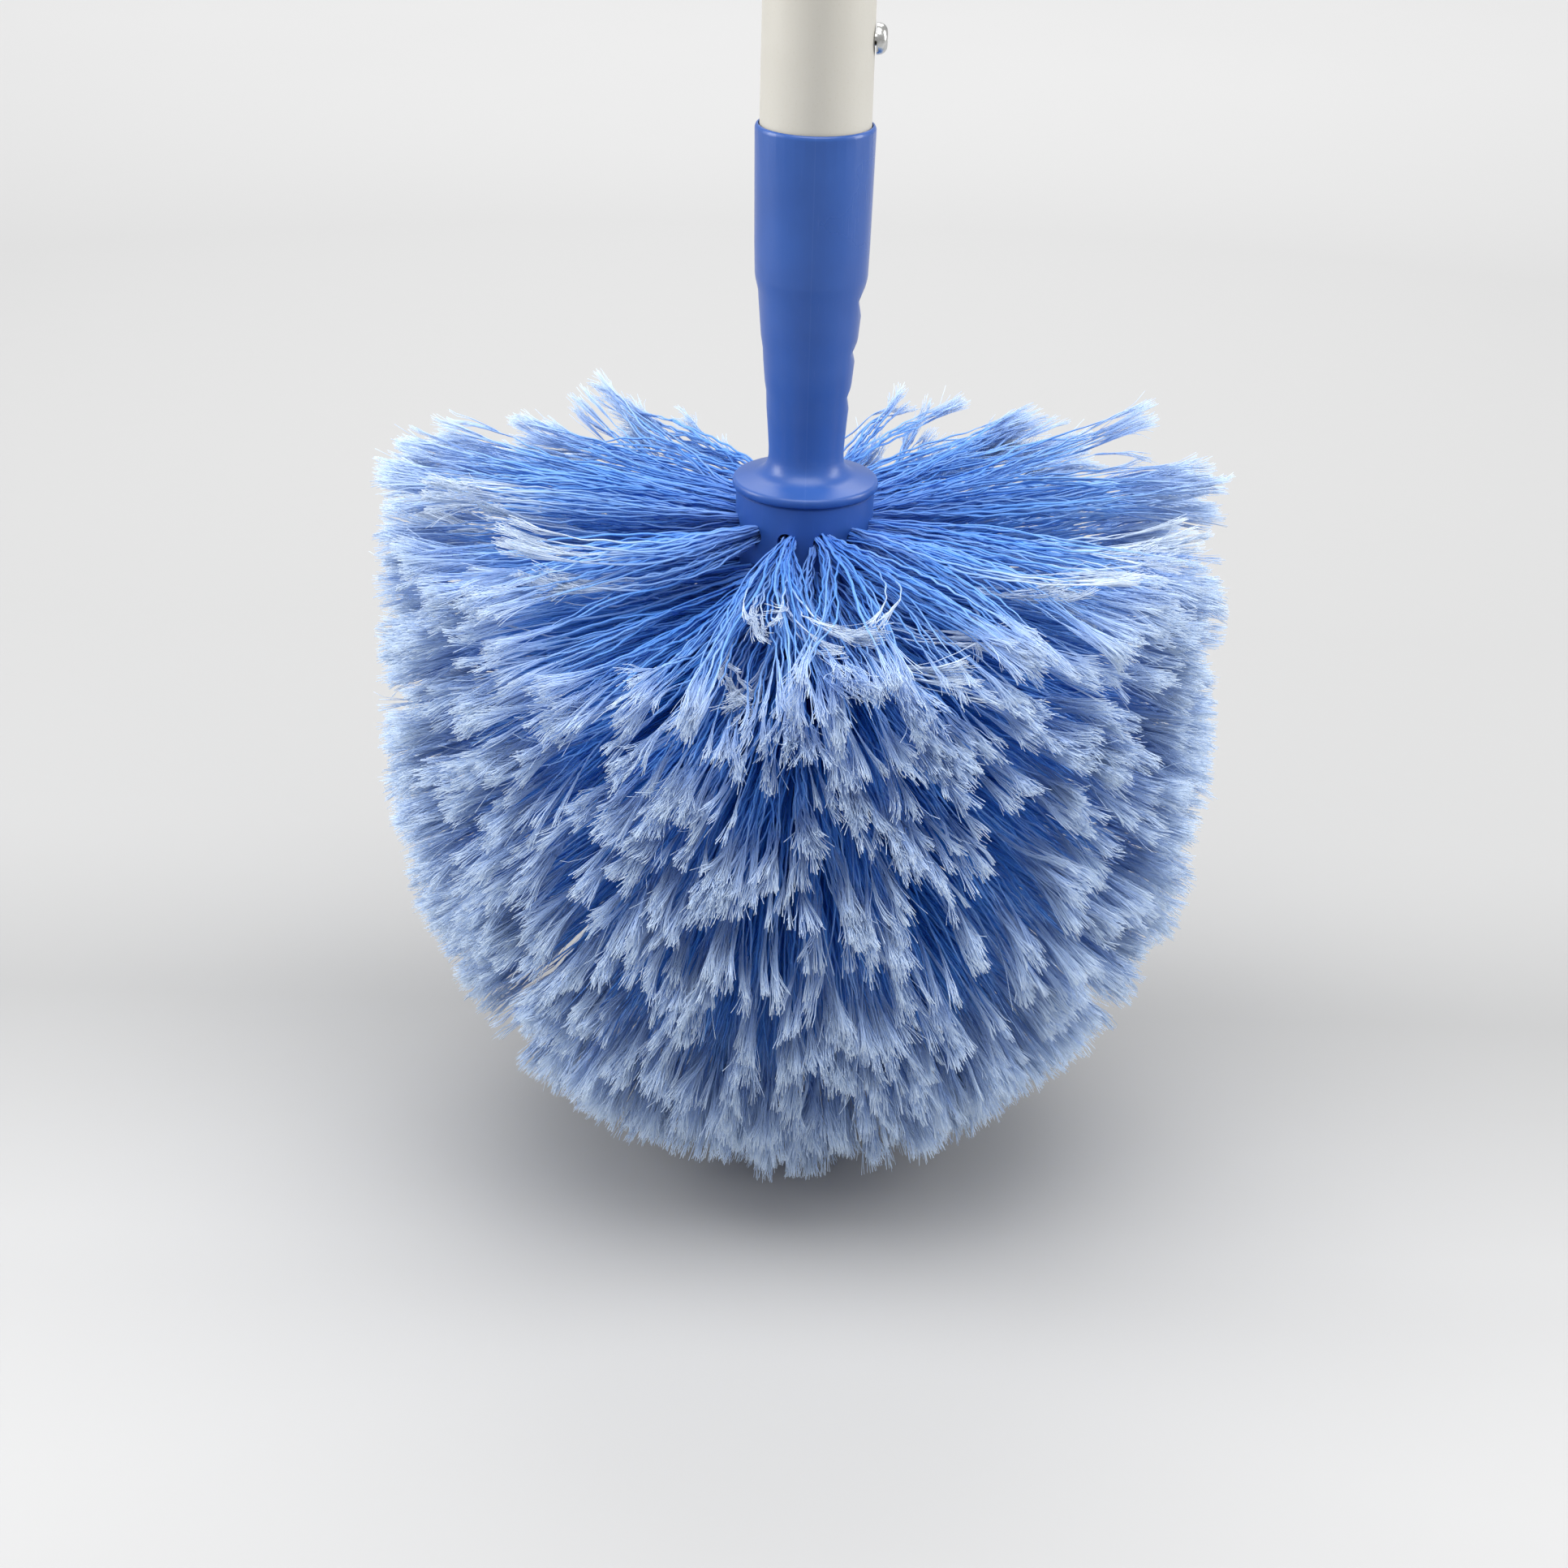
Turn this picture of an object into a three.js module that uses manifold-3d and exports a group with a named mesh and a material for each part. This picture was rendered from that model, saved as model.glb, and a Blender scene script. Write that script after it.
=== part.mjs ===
// A round wash brush: a domed head of bristle tufts on a blue moulded socket, which screws onto a pole.
// Millimetres, +Z up. The origin is on the axis, at the lowest point of the bristle dome.
import * as THREE from 'three';
import { mergeVertices } from 'three/addons/utils/BufferGeometryUtils.js';
import Module from 'manifold-3d';

const wasm = await Module();
wasm.setup();

// ---- driving dimensions ----

const GAP = 0.3; // clearance between neighbouring pieces
const ROUND = 36; // facets round the large turned pieces
const HELIX_STEPS = 24; // facets in one turn of a thread
const SCREW_FACETS = 20;

// bristle head
const DOME_Z = 98.5; // height of the centre that the dome and the block's round end share
const TIP_R = 98.5; // bristle tips, from the axis
const BLOCK_EDGE = 0.4; // chamfer round the block's top
const BLOCK_R = 16.05; // block that the tufts are set in
const RING_PITCH = 9; // height from one straight ring of tufts to the next
const STRAIGHT_RINGS = 8; // rings on the block's cylindrical wall
const TUFTS_PER_RING = 12;
const DOME_RING_TUFTS = [12, 10, 5, 1]; // tufts in each ring on the round end, the last one on the axis
const DOME_STEP = 90 / DOME_RING_TUFTS.length; // degrees from one of those rings to the next
const HOLE_R = 2.05;
const HOLE_DEPTH = 4.5;
const PILOT_R = 2.3; // hole in the block that the core screw cuts its thread in
const TIP_TOP_Z = 180; // height that the top ring's tips fan up to
const DOME_TUFT_SIZE = 1.5; // bristles in a tuft on the round end, for each one in a tuft on the wall
const BRISTLE_FACETS = 24;
const ARC_STEP = DOME_STEP / 2; // degrees between points on the outline of a round end

// socket, from its rim down to the flange
const RIM_Z = 254.5;
const RIM_R = 13.55;
const RIM_ROUNDING = 0.35;
const NECK_BASE_R = 8.7;
const LIP_Z = 171.2; // widest height of the flange
const LIP_R = 16.9;
const FLANGE_UNDERSIDE_Z = 170.1;
const SPIGOT_R = 7;
const SPIGOT_LENGTH = 15;
const SPIGOT_EDGE = 0.8; // chamfer at the spigot's end
const CORE_SCREW_BORE_R = 2.4; // clearance hole for the core screw, down through the spigot
const PILOT_DEPTH = 12; // how far the core screw's hole goes into the block below the spigot
const SOCKET_FLOOR_DEPTH = 70;

// pole
const POLE_R = 12.5;
const POLE_WALL = 1.2;
const POLE_TOP_Z = 427;
const POLE_INSERTION = 7; // how far the tube's end sits below the socket's rim
const SCREW_ABOVE_RIM = 19;
const SCREW_HOLE_R = 2; // clearance hole for the tip screw
const PLUG_LENGTH = 36; // how far the threaded tip reaches up inside the tube, above the rim

// the thread that joins head and pole
const THREAD_PITCH = 5;
const THREAD_ROOT_R = 6.6;
const THREAD_CREST_R = 8;
const THREAD_TURNS = 4;
const THREAD_DEPTH = 37; // depth below the rim at which the pole's thread starts
const COUNTERBORE_DEPTH = 10.8;
const SHANK_R = 10.5;
const SHANK_DEPTH = 34.3;
const COLLAR_HEIGHT = 1.7;
const TIP_WELL_R = 5; // hollow that keeps the tip's moulded wall thin
const TIP_WELL_DEPTH = 28;
const SEAL_THICKNESS = 1.2;
const ROOT_WIDTH = 0.52; // width of the thread's ridge at its root and at its crest, in pitches
const CREST_WIDTH = 0.28;

// ---- materials ----

const plastic = (colour, roughness) =>
  new THREE.MeshStandardMaterial({ color: colour, roughness, metalness: 0 });
const metal = (colour, roughness) =>
  new THREE.MeshStandardMaterial({ color: colour, roughness, metalness: 1 });

const BLUE_PLASTIC = plastic(0x4468bd, 0.38);
const BLUE_BRISTLE = plastic(0x4b82d7, 0.6);
const CREAM_PAINT = plastic(0xe0ddd2, 0.55);
const WHITE_PLASTIC = plastic(0xd9d7d0, 0.5);
const GREY_RUBBER = plastic(0x2b2d30, 0.85);
const SCREW_CHROME = metal(0xc9c9c6, 0.18);
const SCREW_ZINC = metal(0xb5b6b2, 0.35);

// ---- solids ----

const radians = THREE.MathUtils.degToRad;

// Joins shared vertices and drops the collapsed triangles that a turned shape has on its axis.
function weld(geometry) {
  const bare = geometry.clone();
  bare.deleteAttribute('normal');
  bare.deleteAttribute('uv');
  const merged = mergeVertices(bare, 1e-4);
  const kept = [];
  const index = merged.index.array;
  for (let i = 0; i < index.length; i += 3) {
    const [a, b, c] = index.slice(i, i + 3);
    if (a !== b && b !== c && c !== a) kept.push(a, b, c);
  }
  merged.setIndex(kept);
  return merged;
}

function toManifold(geometry) {
  const welded = weld(geometry);
  return new wasm.Manifold(
    new wasm.Mesh({
      numProp: 3,
      vertProperties: welded.attributes.position.array,
      triVerts: Uint32Array.from(welded.index.array),
    }),
  );
}

function toGeometry(manifold) {
  const mesh = manifold.getMesh();
  const geometry = new THREE.BufferGeometry();
  const stride = mesh.numProp;
  const positions = [];
  for (let v = 0; v < mesh.numVert; v++) {
    positions.push(...mesh.vertProperties.slice(v * stride, v * stride + 3));
  }
  geometry.setAttribute('position', new THREE.Float32BufferAttribute(positions, 3));
  geometry.setIndex(Array.from(mesh.triVerts));
  return geometry;
}

const join = (first, ...rest) =>
  toGeometry(rest.reduce((sum, g) => sum.add(toManifold(g)), toManifold(first)));

const cut = (first, ...rest) =>
  toGeometry(rest.reduce((left, g) => left.subtract(toManifold(g)), toManifold(first)));

// Turns an outline of [radius, height] points round the Z axis. An outline off the axis is closed first.
function turned(outline, facets = ROUND) {
  const points = outline.map(([r, z]) => new THREE.Vector2(r > 1e-9 ? r : 0, z));
  if (THREE.ShapeUtils.area(points) < 0) points.reverse();
  if (points.some((point) => point.x === 0)) {
    while (points[0].x !== 0 || points[points.length - 1].x !== 0) points.push(points.shift());
  } else {
    points.push(points[0].clone());
  }
  return new THREE.LatheGeometry(points, facets).rotateX(Math.PI / 2);
}

// Points on an arc in the outline's plane, angles in degrees from outwards towards up.
function arc(r, z, radius, from, to, steps) {
  return Array.from({ length: steps + 1 }, (_, i) => {
    const angle = radians(from + ((to - from) * i) / steps);
    return [r + radius * Math.cos(angle), z + radius * Math.sin(angle)];
  });
}

// A plain cylinder along Z between two heights.
function rod(radius, low, high, facets) {
  return new THREE.CylinderGeometry(radius, radius, high - low, facets)
    .rotateX(Math.PI / 2)
    .translate(0, 0, (low + high) / 2);
}

// A block between two corners.
function block(low, high) {
  const size = high.map((h, i) => h - low[i]);
  const middle = high.map((h, i) => (h + low[i]) / 2);
  return new THREE.BoxGeometry(...size).translate(...middle);
}

// A right-hand helical ridge: a trapezoid from inside the root radius out to the crest. It is wider by
// grow on each side, and runs between two numbers of turns counted from the height low.
function threadRidge({ rootR, crestR, low, fromTurn, toTurn, grow }) {
  const halfRoot = (THREAD_PITCH * ROOT_WIDTH) / 2 + grow;
  const halfCrest = (THREAD_PITCH * CREST_WIDTH) / 2 + grow;
  const section = [
    [rootR - GAP, -halfRoot],
    [crestR, -halfCrest],
    [crestR, halfCrest],
    [rootR - GAP, halfRoot],
  ];
  const firstStep = Math.round(fromTurn * HELIX_STEPS);
  const steps = Math.round(toTurn * HELIX_STEPS) - firstStep;
  const positions = [];
  for (let i = 0; i <= steps; i++) {
    const turn = (firstStep + i) / HELIX_STEPS;
    const angle = 2 * Math.PI * turn;
    const rise = low + THREAD_PITCH * turn;
    for (const [r, z] of section) positions.push(r * Math.cos(angle), r * Math.sin(angle), rise + z);
  }
  const index = [];
  const sides = section.length;
  for (let i = 0; i < steps; i++) {
    for (let k = 0; k < sides; k++) {
      const here = i * sides + k;
      const next = i * sides + ((k + 1) % sides);
      index.push(here, next + sides, next, here, here + sides, next + sides);
    }
  }
  const last = steps * sides;
  index.push(0, 1, 2, 0, 2, 3, last, last + 2, last + 1, last, last + 3, last + 2);
  const geometry = new THREE.BufferGeometry();
  geometry.setAttribute('position', new THREE.Float32BufferAttribute(positions, 3));
  geometry.setIndex(index);
  return geometry;
}

// A pan-head screw pointing down, with the underside of its head at height 0 and a cross recess.
function panHeadScrew({ headR, headH, shankR, length, recess }) {
  const body = turned(
    [
      [0, -length],
      [shankR * 0.4, -length + shankR * 0.4],
      [shankR, -length + shankR * 1.6],
      [shankR, 0],
      [headR, 0],
      ...arc(headR - headH * 0.8, headH * 0.2, headH * 0.8, 0, 90, 4),
      [0, headH],
    ],
    SCREW_FACETS,
  );
  const arm = recess * 0.22;
  const floor = headH * 0.35;
  return cut(
    body,
    block([-recess, -arm, floor], [recess, arm, headH + 1]),
    block([-arm, -recess, floor], [arm, recess, headH + 1]),
  );
}

const below = (depth) => RIM_Z - depth;
const threadLow = below(THREAD_DEPTH + THREAD_TURNS * THREAD_PITCH);
const threadStartZ = threadLow + THREAD_PITCH * 0.3;

// ---- pole ----

const tubeEnd = below(POLE_INSERTION);
const screwZ = RIM_Z + SCREW_ABOVE_RIM;
const boreR = POLE_R - POLE_WALL;
const plugR = boreR - GAP;

// A hole along +X from the axis outwards, for the screw in the pole's side.
const sideHole = (radius) =>
  rod(radius, 0, POLE_R + 5, 16).rotateY(Math.PI / 2).translate(0, 0, screwZ);

function poleTube() {
  const wall = [
    [boreR, tubeEnd],
    [POLE_R, tubeEnd],
    [POLE_R, POLE_TOP_Z],
    [boreR, POLE_TOP_Z],
  ];
  return cut(turned(wall), sideHole(SCREW_HOLE_R));
}

function threadedTip() {
  const collarTop = tubeEnd - GAP;
  const collarLow = collarTop - COLLAR_HEIGHT;
  const collarR = POLE_R - 0.1;
  const wellFloor = below(TIP_WELL_DEPTH);
  const end = threadLow - 2;
  const endEdge = 1.2; // chamfer that leads the thread in
  const plugTop = RIM_Z + PLUG_LENGTH;
  const plugEdge = 1;
  const body = turned([
    [0, end],
    [THREAD_ROOT_R - endEdge, end],
    [THREAD_ROOT_R, end + endEdge],
    [THREAD_ROOT_R, below(SHANK_DEPTH)],
    [SHANK_R, below(SHANK_DEPTH)],
    [SHANK_R, collarLow],
    [collarR, collarLow],
    [collarR, collarTop],
    [plugR, collarTop],
    [plugR, plugTop - plugEdge],
    [plugR - plugEdge, plugTop],
    [TIP_WELL_R, plugTop],
    [TIP_WELL_R, wellFloor],
    [0, wellFloor],
  ]);
  const ridge = threadRidge({
    rootR: THREAD_ROOT_R,
    crestR: THREAD_CREST_R,
    low: threadStartZ,
    fromTurn: 0,
    toTurn: THREAD_TURNS - 0.6,
    grow: 0,
  });
  return cut(join(body, ridge), sideHole(SCREW_HOLE_R));
}

function tipScrew() {
  return panHeadScrew({ headR: 3.5, headH: 2.4, shankR: 1.6, length: 8.5, recess: 1.9 });
}

// A plug with a flange over the tube's end and an eye to hang the brush by.
function poleEndCap() {
  const plugEnd = POLE_TOP_Z - 18;
  const edge = 1; // chamfer at the plug's end and round the flange
  const flangeLow = POLE_TOP_Z + GAP;
  const flangeTop = flangeLow + 3;
  const plug = turned([
    [0, plugEnd],
    [plugR - edge, plugEnd],
    [plugR, plugEnd + edge],
    [plugR, flangeLow],
    [POLE_R, flangeLow],
    [POLE_R, flangeTop - edge],
    [POLE_R - edge, flangeTop],
    [0, flangeTop],
  ]);
  const eyeR = 9;
  const holeR = 4.5;
  const eyeZ = flangeTop + 11;
  const eyeFoot = flangeTop - 2; // inside the flange, so that the two join
  const outline = new THREE.Shape();
  outline.moveTo(-eyeR, eyeFoot);
  outline.lineTo(eyeR, eyeFoot);
  outline.lineTo(eyeR, eyeZ);
  outline.absarc(0, eyeZ, eyeR, 0, Math.PI, false);
  outline.closePath();
  outline.holes.push(new THREE.Path().absarc(0, eyeZ, holeR, 0, 2 * Math.PI, true));
  const thickness = 5;
  const eye = new THREE.ExtrudeGeometry(outline, {
    depth: thickness,
    bevelEnabled: false,
    curveSegments: 12,
  })
    .rotateX(Math.PI / 2)
    .translate(0, thickness / 2, 0);
  return join(plug, eye);
}

// ---- joint between pole and head ----

// A flat ring on the counterbore's floor that the pole's collar presses on. It lets the shank turn in it.
function sealRing() {
  const floor = below(COUNTERBORE_DEPTH) + GAP;
  const top = floor + SEAL_THICKNESS;
  return turned([
    [SHANK_R + GAP, floor],
    [POLE_R, floor],
    [POLE_R, top],
    [SHANK_R + GAP, top],
  ]);
}

// ---- head ----

// Three notches in one side of the neck: depth below the rim of each one's top, deepest point and foot,
// and the distance from the axis there.
const NECK_NOTCHES = [
  { depths: [35.2, 39.2, 43.9], radii: [12.75, 10.7, 11.6] },
  { depths: [48.5, 51.5, 54.4], radii: [11.2, 9.5, 10.5] },
  { depths: [59.4, 62.2, 65.4], radii: [10.1, 8.8, 9.45] },
];

// The neck's side from its foot up to just below the rim: depth below the rim, and distance from the axis.
const NECK_PROFILE = [
  [75, NECK_BASE_R],
  [69, 9.15],
  [65.4, 9.45],
  [61.6, 9.6],
  [59.4, 9.97],
  [54.4, 10.43],
  [51.5, 10.6],
  [48.5, 11.1],
  [43.9, 11.5],
  [37.8, 12.0],
  [35.2, 12.65],
  [34, 12.82],
  [27, 13.05],
  [14, 13.3],
];

function neckNotch({ depths, radii }) {
  const clear = LIP_R;
  const halfWidth = 12;
  const outline = new THREE.Shape();
  outline.moveTo(clear, below(depths[0]));
  radii.forEach((r, i) => outline.lineTo(r, below(depths[i])));
  outline.lineTo(clear, below(depths[2]));
  outline.closePath();
  return new THREE.ExtrudeGeometry(outline, { depth: 2 * halfWidth, bevelEnabled: false })
    .rotateX(Math.PI / 2)
    .translate(0, halfWidth, 0);
}

function handleSocket() {
  const boreClear = POLE_R + GAP;
  const shankClear = SHANK_R + 0.5;
  const threadTop = below(SHANK_DEPTH + GAP);
  const threadClear = THREAD_ROOT_R + GAP;
  const filletR = 4.6;
  const filletZ = LIP_Z + 6.3; // height of the fillet's centre
  const lipRounding = 0.9;
  const lipEdge = 0.3; // chamfer under the lip
  const slopeEnd = 75; // degrees: the flange's top falls 15 degrees outwards
  const spigotLow = FLANGE_UNDERSIDE_Z - SPIGOT_LENGTH;
  const mouthEdge = 0.4; // chamfer round the bore's mouth
  const outline = [
    // outside, from the spigot up to the rim
    [CORE_SCREW_BORE_R, spigotLow],
    [SPIGOT_R - SPIGOT_EDGE, spigotLow],
    [SPIGOT_R, spigotLow + SPIGOT_EDGE],
    [SPIGOT_R, FLANGE_UNDERSIDE_Z],
    [LIP_R - lipEdge, FLANGE_UNDERSIDE_Z],
    [LIP_R, FLANGE_UNDERSIDE_Z + lipEdge],
    ...arc(LIP_R - lipRounding, LIP_Z + 0.2, lipRounding, 0, slopeEnd, 3),
    ...arc(NECK_BASE_R + filletR, filletZ, filletR, 180 + slopeEnd, 180, 5),
    ...NECK_PROFILE.map(([depth, r]) => [r, below(depth)]),
    ...arc(RIM_R - RIM_ROUNDING, below(RIM_ROUNDING), RIM_ROUNDING, 0, 90, 2),
    // inside, from the rim down
    [boreClear + 0.1, RIM_Z],
    [boreClear, below(mouthEdge)],
    [boreClear, below(COUNTERBORE_DEPTH)],
    [shankClear, below(COUNTERBORE_DEPTH)],
    [shankClear, threadTop],
    [threadClear, threadTop],
    [threadClear, below(SOCKET_FLOOR_DEPTH)],
    [CORE_SCREW_BORE_R, below(SOCKET_FLOOR_DEPTH)],
  ];
  const groove = threadRidge({
    rootR: threadClear,
    crestR: THREAD_CREST_R + GAP,
    low: threadStartZ,
    fromTurn: -0.25,
    toTurn: THREAD_TURNS + 0.5,
    grow: GAP,
  });
  return cut(turned(outline), groove, ...NECK_NOTCHES.map(neckNotch));
}

// Where each ring of tufts is set: the degrees its tufts slope below level, and the height it starts at.
// The share is how much of the head's surface it covers.
const rings = [];
for (let i = STRAIGHT_RINGS - 1; i >= 0; i--) {
  rings.push({ slope: 0, z: DOME_Z + i * RING_PITCH, tufts: TUFTS_PER_RING, share: TUFTS_PER_RING });
}
DOME_RING_TUFTS.forEach((tufts, i) => {
  rings.push({ slope: (i + 1) * DOME_STEP, z: DOME_Z, tufts, share: tufts * DOME_TUFT_SIZE });
});

// A tuft hole, from its mouth in the block's wall inwards.
function tuftHole(slope, z, azimuth) {
  const hole = rod(HOLE_R, BLOCK_R - HOLE_DEPTH, BLOCK_R + 2, 6);
  return hole
    .rotateY(Math.PI / 2 + radians(slope))
    .rotateZ(azimuth)
    .translate(0, 0, z);
}

function coreBlock() {
  const top = FLANGE_UNDERSIDE_Z - GAP;
  const spigotFloor = FLANGE_UNDERSIDE_Z - SPIGOT_LENGTH - GAP;
  const pilotFloor = spigotFloor - PILOT_DEPTH;
  const solid = turned(
    [
      ...arc(0, DOME_Z, BLOCK_R, -90, 0, 90 / ARC_STEP),
      [BLOCK_R, top - BLOCK_EDGE],
      [BLOCK_R - BLOCK_EDGE, top],
      [SPIGOT_R + GAP, top],
      [SPIGOT_R + GAP, spigotFloor],
      [PILOT_R, spigotFloor],
      [PILOT_R, pilotFloor],
      [0, pilotFloor],
    ],
    2 * TUFTS_PER_RING,
  ).rotateZ(Math.PI / (2 * TUFTS_PER_RING)); // so that each hole is in the middle of a facet
  const holes = [];
  for (const { slope, z, tufts } of rings) {
    for (let i = 0; i < tufts; i++) {
      holes.push(tuftHole(slope, z, (2 * Math.PI * (i + 0.5)) / tufts));
    }
  }
  return cut(solid, ...holes);
}

function coreScrew() {
  return panHeadScrew({ headR: 4.4, headH: 2.8, shankR: 1.9, length: 38, recess: 2.4 });
}

// The cones that part one ring of bristles from the next, from the top down: the degrees below level and
// the height that each starts from at the block, and its height at the tips. A band round the tips has an
// area in proportion to its height, on the dome as on the straight wall, and each ring gets its share.
const partings = [];
const allShares = rings.reduce((sum, ring) => sum + ring.share, 0);
let shareLeft = allShares;
rings.forEach((ring, i) => {
  const straight = i < STRAIGHT_RINGS;
  partings.push({
    slope: straight ? 0 : ring.slope - DOME_STEP / 2,
    rootZ: straight ? ring.z + RING_PITCH / 2 : ring.z,
    tipZ: (TIP_TOP_Z * shareLeft) / allShares,
  });
  shareLeft -= ring.share;
});

// Degrees below level, seen from the dome's centre, of a height on the tips' surface.
const tipSlope = (tipZ) => THREE.MathUtils.radToDeg(Math.asin(Math.max(0, DOME_Z - tipZ) / TIP_R));

// The two ends of a parting, moved along its normal to leave half a gap.
function onParting({ slope, rootZ, tipZ }, side) {
  const rootR = BLOCK_R + GAP;
  const root = new THREE.Vector2(
    rootR * Math.cos(radians(slope)),
    rootZ - rootR * Math.sin(radians(slope)),
  );
  const tip = new THREE.Vector2(TIP_R * Math.cos(radians(tipSlope(tipZ))), tipZ);
  const along = tip.clone().sub(root).normalize();
  const shift = new THREE.Vector2(-along.y, along.x).multiplyScalar((side * GAP) / 2);
  return { root: root.add(shift).toArray(), tip: tip.add(shift).toArray() };
}

// Points between two slopes of a round surface, in even steps. The partings give the ends, so those are
// left out, apart from slope 0, where the straight wall turns into the round end.
function roundEnd(radius, from, to) {
  if (to === 0) return [];
  const points = arc(0, DOME_Z, radius, -from, -to, Math.ceil((to - from) / ARC_STEP));
  return points.slice(from === 0 ? 0 : 1, -1);
}

// The space that one ring of tufts fills, with plain sides. The last ring closes the dome on the axis.
function bristleRing(index) {
  const rootR = BLOCK_R + GAP;
  const upper = partings[index];
  const lower = partings[index + 1] ?? { slope: 90, tipZ: DOME_Z - TIP_R };
  const top = onParting(upper, -1);
  const bottom = partings[index + 1]
    ? onParting(lower, 1)
    : { root: [0, DOME_Z - rootR], tip: [0, DOME_Z - TIP_R] };
  return turned(
    [
      top.root,
      top.tip,
      ...roundEnd(TIP_R, tipSlope(upper.tipZ), tipSlope(lower.tipZ)),
      bottom.tip,
      bottom.root,
      ...roundEnd(rootR, upper.slope, lower.slope).reverse(),
    ],
    BRISTLE_FACETS,
  );
}

// ---- assembly ----

function piece(parent, name, geometry, material) {
  const mesh = new THREE.Mesh(geometry, material);
  mesh.name = name;
  parent.add(mesh);
  return mesh;
}

const brush = new THREE.Group();

const pole = new THREE.Group();
piece(pole, 'pole_tube', poleTube(), CREAM_PAINT);
piece(pole, 'threaded_tip', threadedTip(), WHITE_PLASTIC);
piece(pole, 'pole_end_cap', poleEndCap(), BLUE_PLASTIC);
const screw = piece(pole, 'tip_screw', tipScrew(), SCREW_CHROME);
screw.position.set(POLE_R + GAP, 0, screwZ);
screw.rotation.y = Math.PI / 2;

const head = new THREE.Group();
piece(head, 'handle_socket', handleSocket(), BLUE_PLASTIC);
piece(head, 'core_block', coreBlock(), BLUE_PLASTIC);
const fixing = piece(head, 'core_screw', coreScrew(), SCREW_ZINC);
fixing.position.z = below(SOCKET_FLOOR_DEPTH) + GAP;
rings.forEach((_, i) => {
  piece(head, `bristle_ring_${i + 1}`, bristleRing(i), BLUE_BRISTLE);
});

brush.add(pole, head);
piece(brush, 'seal_ring', sealRing(), GREY_RUBBER);

export default brush;
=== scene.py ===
"""A round wash brush on a tube handle: the look of every piece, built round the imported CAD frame.

Metres, +Z up. The origin is on the brush's axis, at the lowest point of the bristle dome.
"""

import math

import bmesh
import bpy
import numpy as np
from mathutils import Matrix, Vector


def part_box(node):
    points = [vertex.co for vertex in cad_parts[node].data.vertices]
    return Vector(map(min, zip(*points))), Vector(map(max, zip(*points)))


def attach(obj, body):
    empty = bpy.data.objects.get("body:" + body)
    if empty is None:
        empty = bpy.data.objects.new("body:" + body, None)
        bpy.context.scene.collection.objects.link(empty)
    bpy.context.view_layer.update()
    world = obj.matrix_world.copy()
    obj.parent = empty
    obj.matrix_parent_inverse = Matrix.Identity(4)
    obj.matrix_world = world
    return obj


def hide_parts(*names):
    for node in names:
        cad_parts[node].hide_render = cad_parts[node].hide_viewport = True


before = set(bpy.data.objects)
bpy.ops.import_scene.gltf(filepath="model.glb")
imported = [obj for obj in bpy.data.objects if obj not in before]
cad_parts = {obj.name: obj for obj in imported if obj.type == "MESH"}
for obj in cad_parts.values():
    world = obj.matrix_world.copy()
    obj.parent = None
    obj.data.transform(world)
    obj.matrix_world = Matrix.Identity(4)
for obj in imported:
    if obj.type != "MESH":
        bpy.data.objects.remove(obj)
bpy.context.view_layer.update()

MM = 0.001

# ---- driving dimensions ----

TIP_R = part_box("bristle_ring_6")[1].x  # bristle tips, from the axis
CAD_BLOCK_FACETS = 24
BLOCK_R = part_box("core_block")[1].x / math.cos(math.pi / CAD_BLOCK_FACETS)  # a facet's middle is further in
BLOCK_END_Z = TIP_R  # height of the centre that the block's round end has
BLOCK_TOP_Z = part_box("core_block")[1].z
BLOCK_EDGE = 0.4 * MM  # chamfer round the block's top
BLOCK_SIDES = 96
RIM_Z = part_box("handle_socket")[1].z
RIM_R = 13.55 * MM
RIM_ROUNDING = 1.1 * MM
SAME_POINT = 0.001 * MM  # points closer than this are joined

RING_PITCH = 9 * MM  # height from one straight ring of tufts to the next, at the block
STRAIGHT_RINGS = 8
WALL_TUFTS = 12  # tufts in a ring on the block's wall
WALL_TUFT_SIZE = 58  # filaments in a tuft there
DOME_RING_TUFTS = (12, 10, 5, 1)  # tufts in each ring on the block's round end
DOME_TUFT_SIZE = 84
HOLE_R = 2.05 * MM
HOLE_DEPTH = 4.5 * MM
PLATE_SIZE = (0.35 * MM, 3.9 * MM, 1.8 * MM)  # thickness, length and height of the plate that holds a tuft
PLATE_DEPTH = 0.72 * HOLE_DEPTH
ROOT_DEPTH = 0.8 * HOLE_DEPTH  # how deep in its hole a filament starts
ROOT_PACK_R = 0.88 * HOLE_R  # how far from the hole's axis it starts, at most
SPIGOT_HOLE_R = 7.3 * MM  # in the block's top, for the socket's spigot
SPIGOT_HOLE_DEPTH = 15 * MM
SCREW_HOLE_R = 2.3 * MM
SCREW_HOLE_DEPTH = 12 * MM

TIP_TOP_Z = 175 * MM  # height that the top ring's tips fan up to
TIP_DOME_Z = 105 * MM  # where the straight side of the tips' surface turns into the dome
TUFT_SPREAD = 15.5 * MM  # sideways spread of a tuft at the tips, as a standard deviation
BAND_SPREAD = 0.5  # its spread in height, in heights of its band
LEAST_BAND = 9 * MM  # a band is taken as no lower than this
TOP_SPREAD = 3.6 * MM  # the top ring's spread in height, which nothing above it presses on
TIP_REACH = 2.6 * MM  # how far the longest filaments end outside the CAD's surface
FLOOR_GAP = 0.6 * MM  # no filament's line ends lower than this
CLUMP_SIZE = 6  # filaments that cling together at their ends

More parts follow.
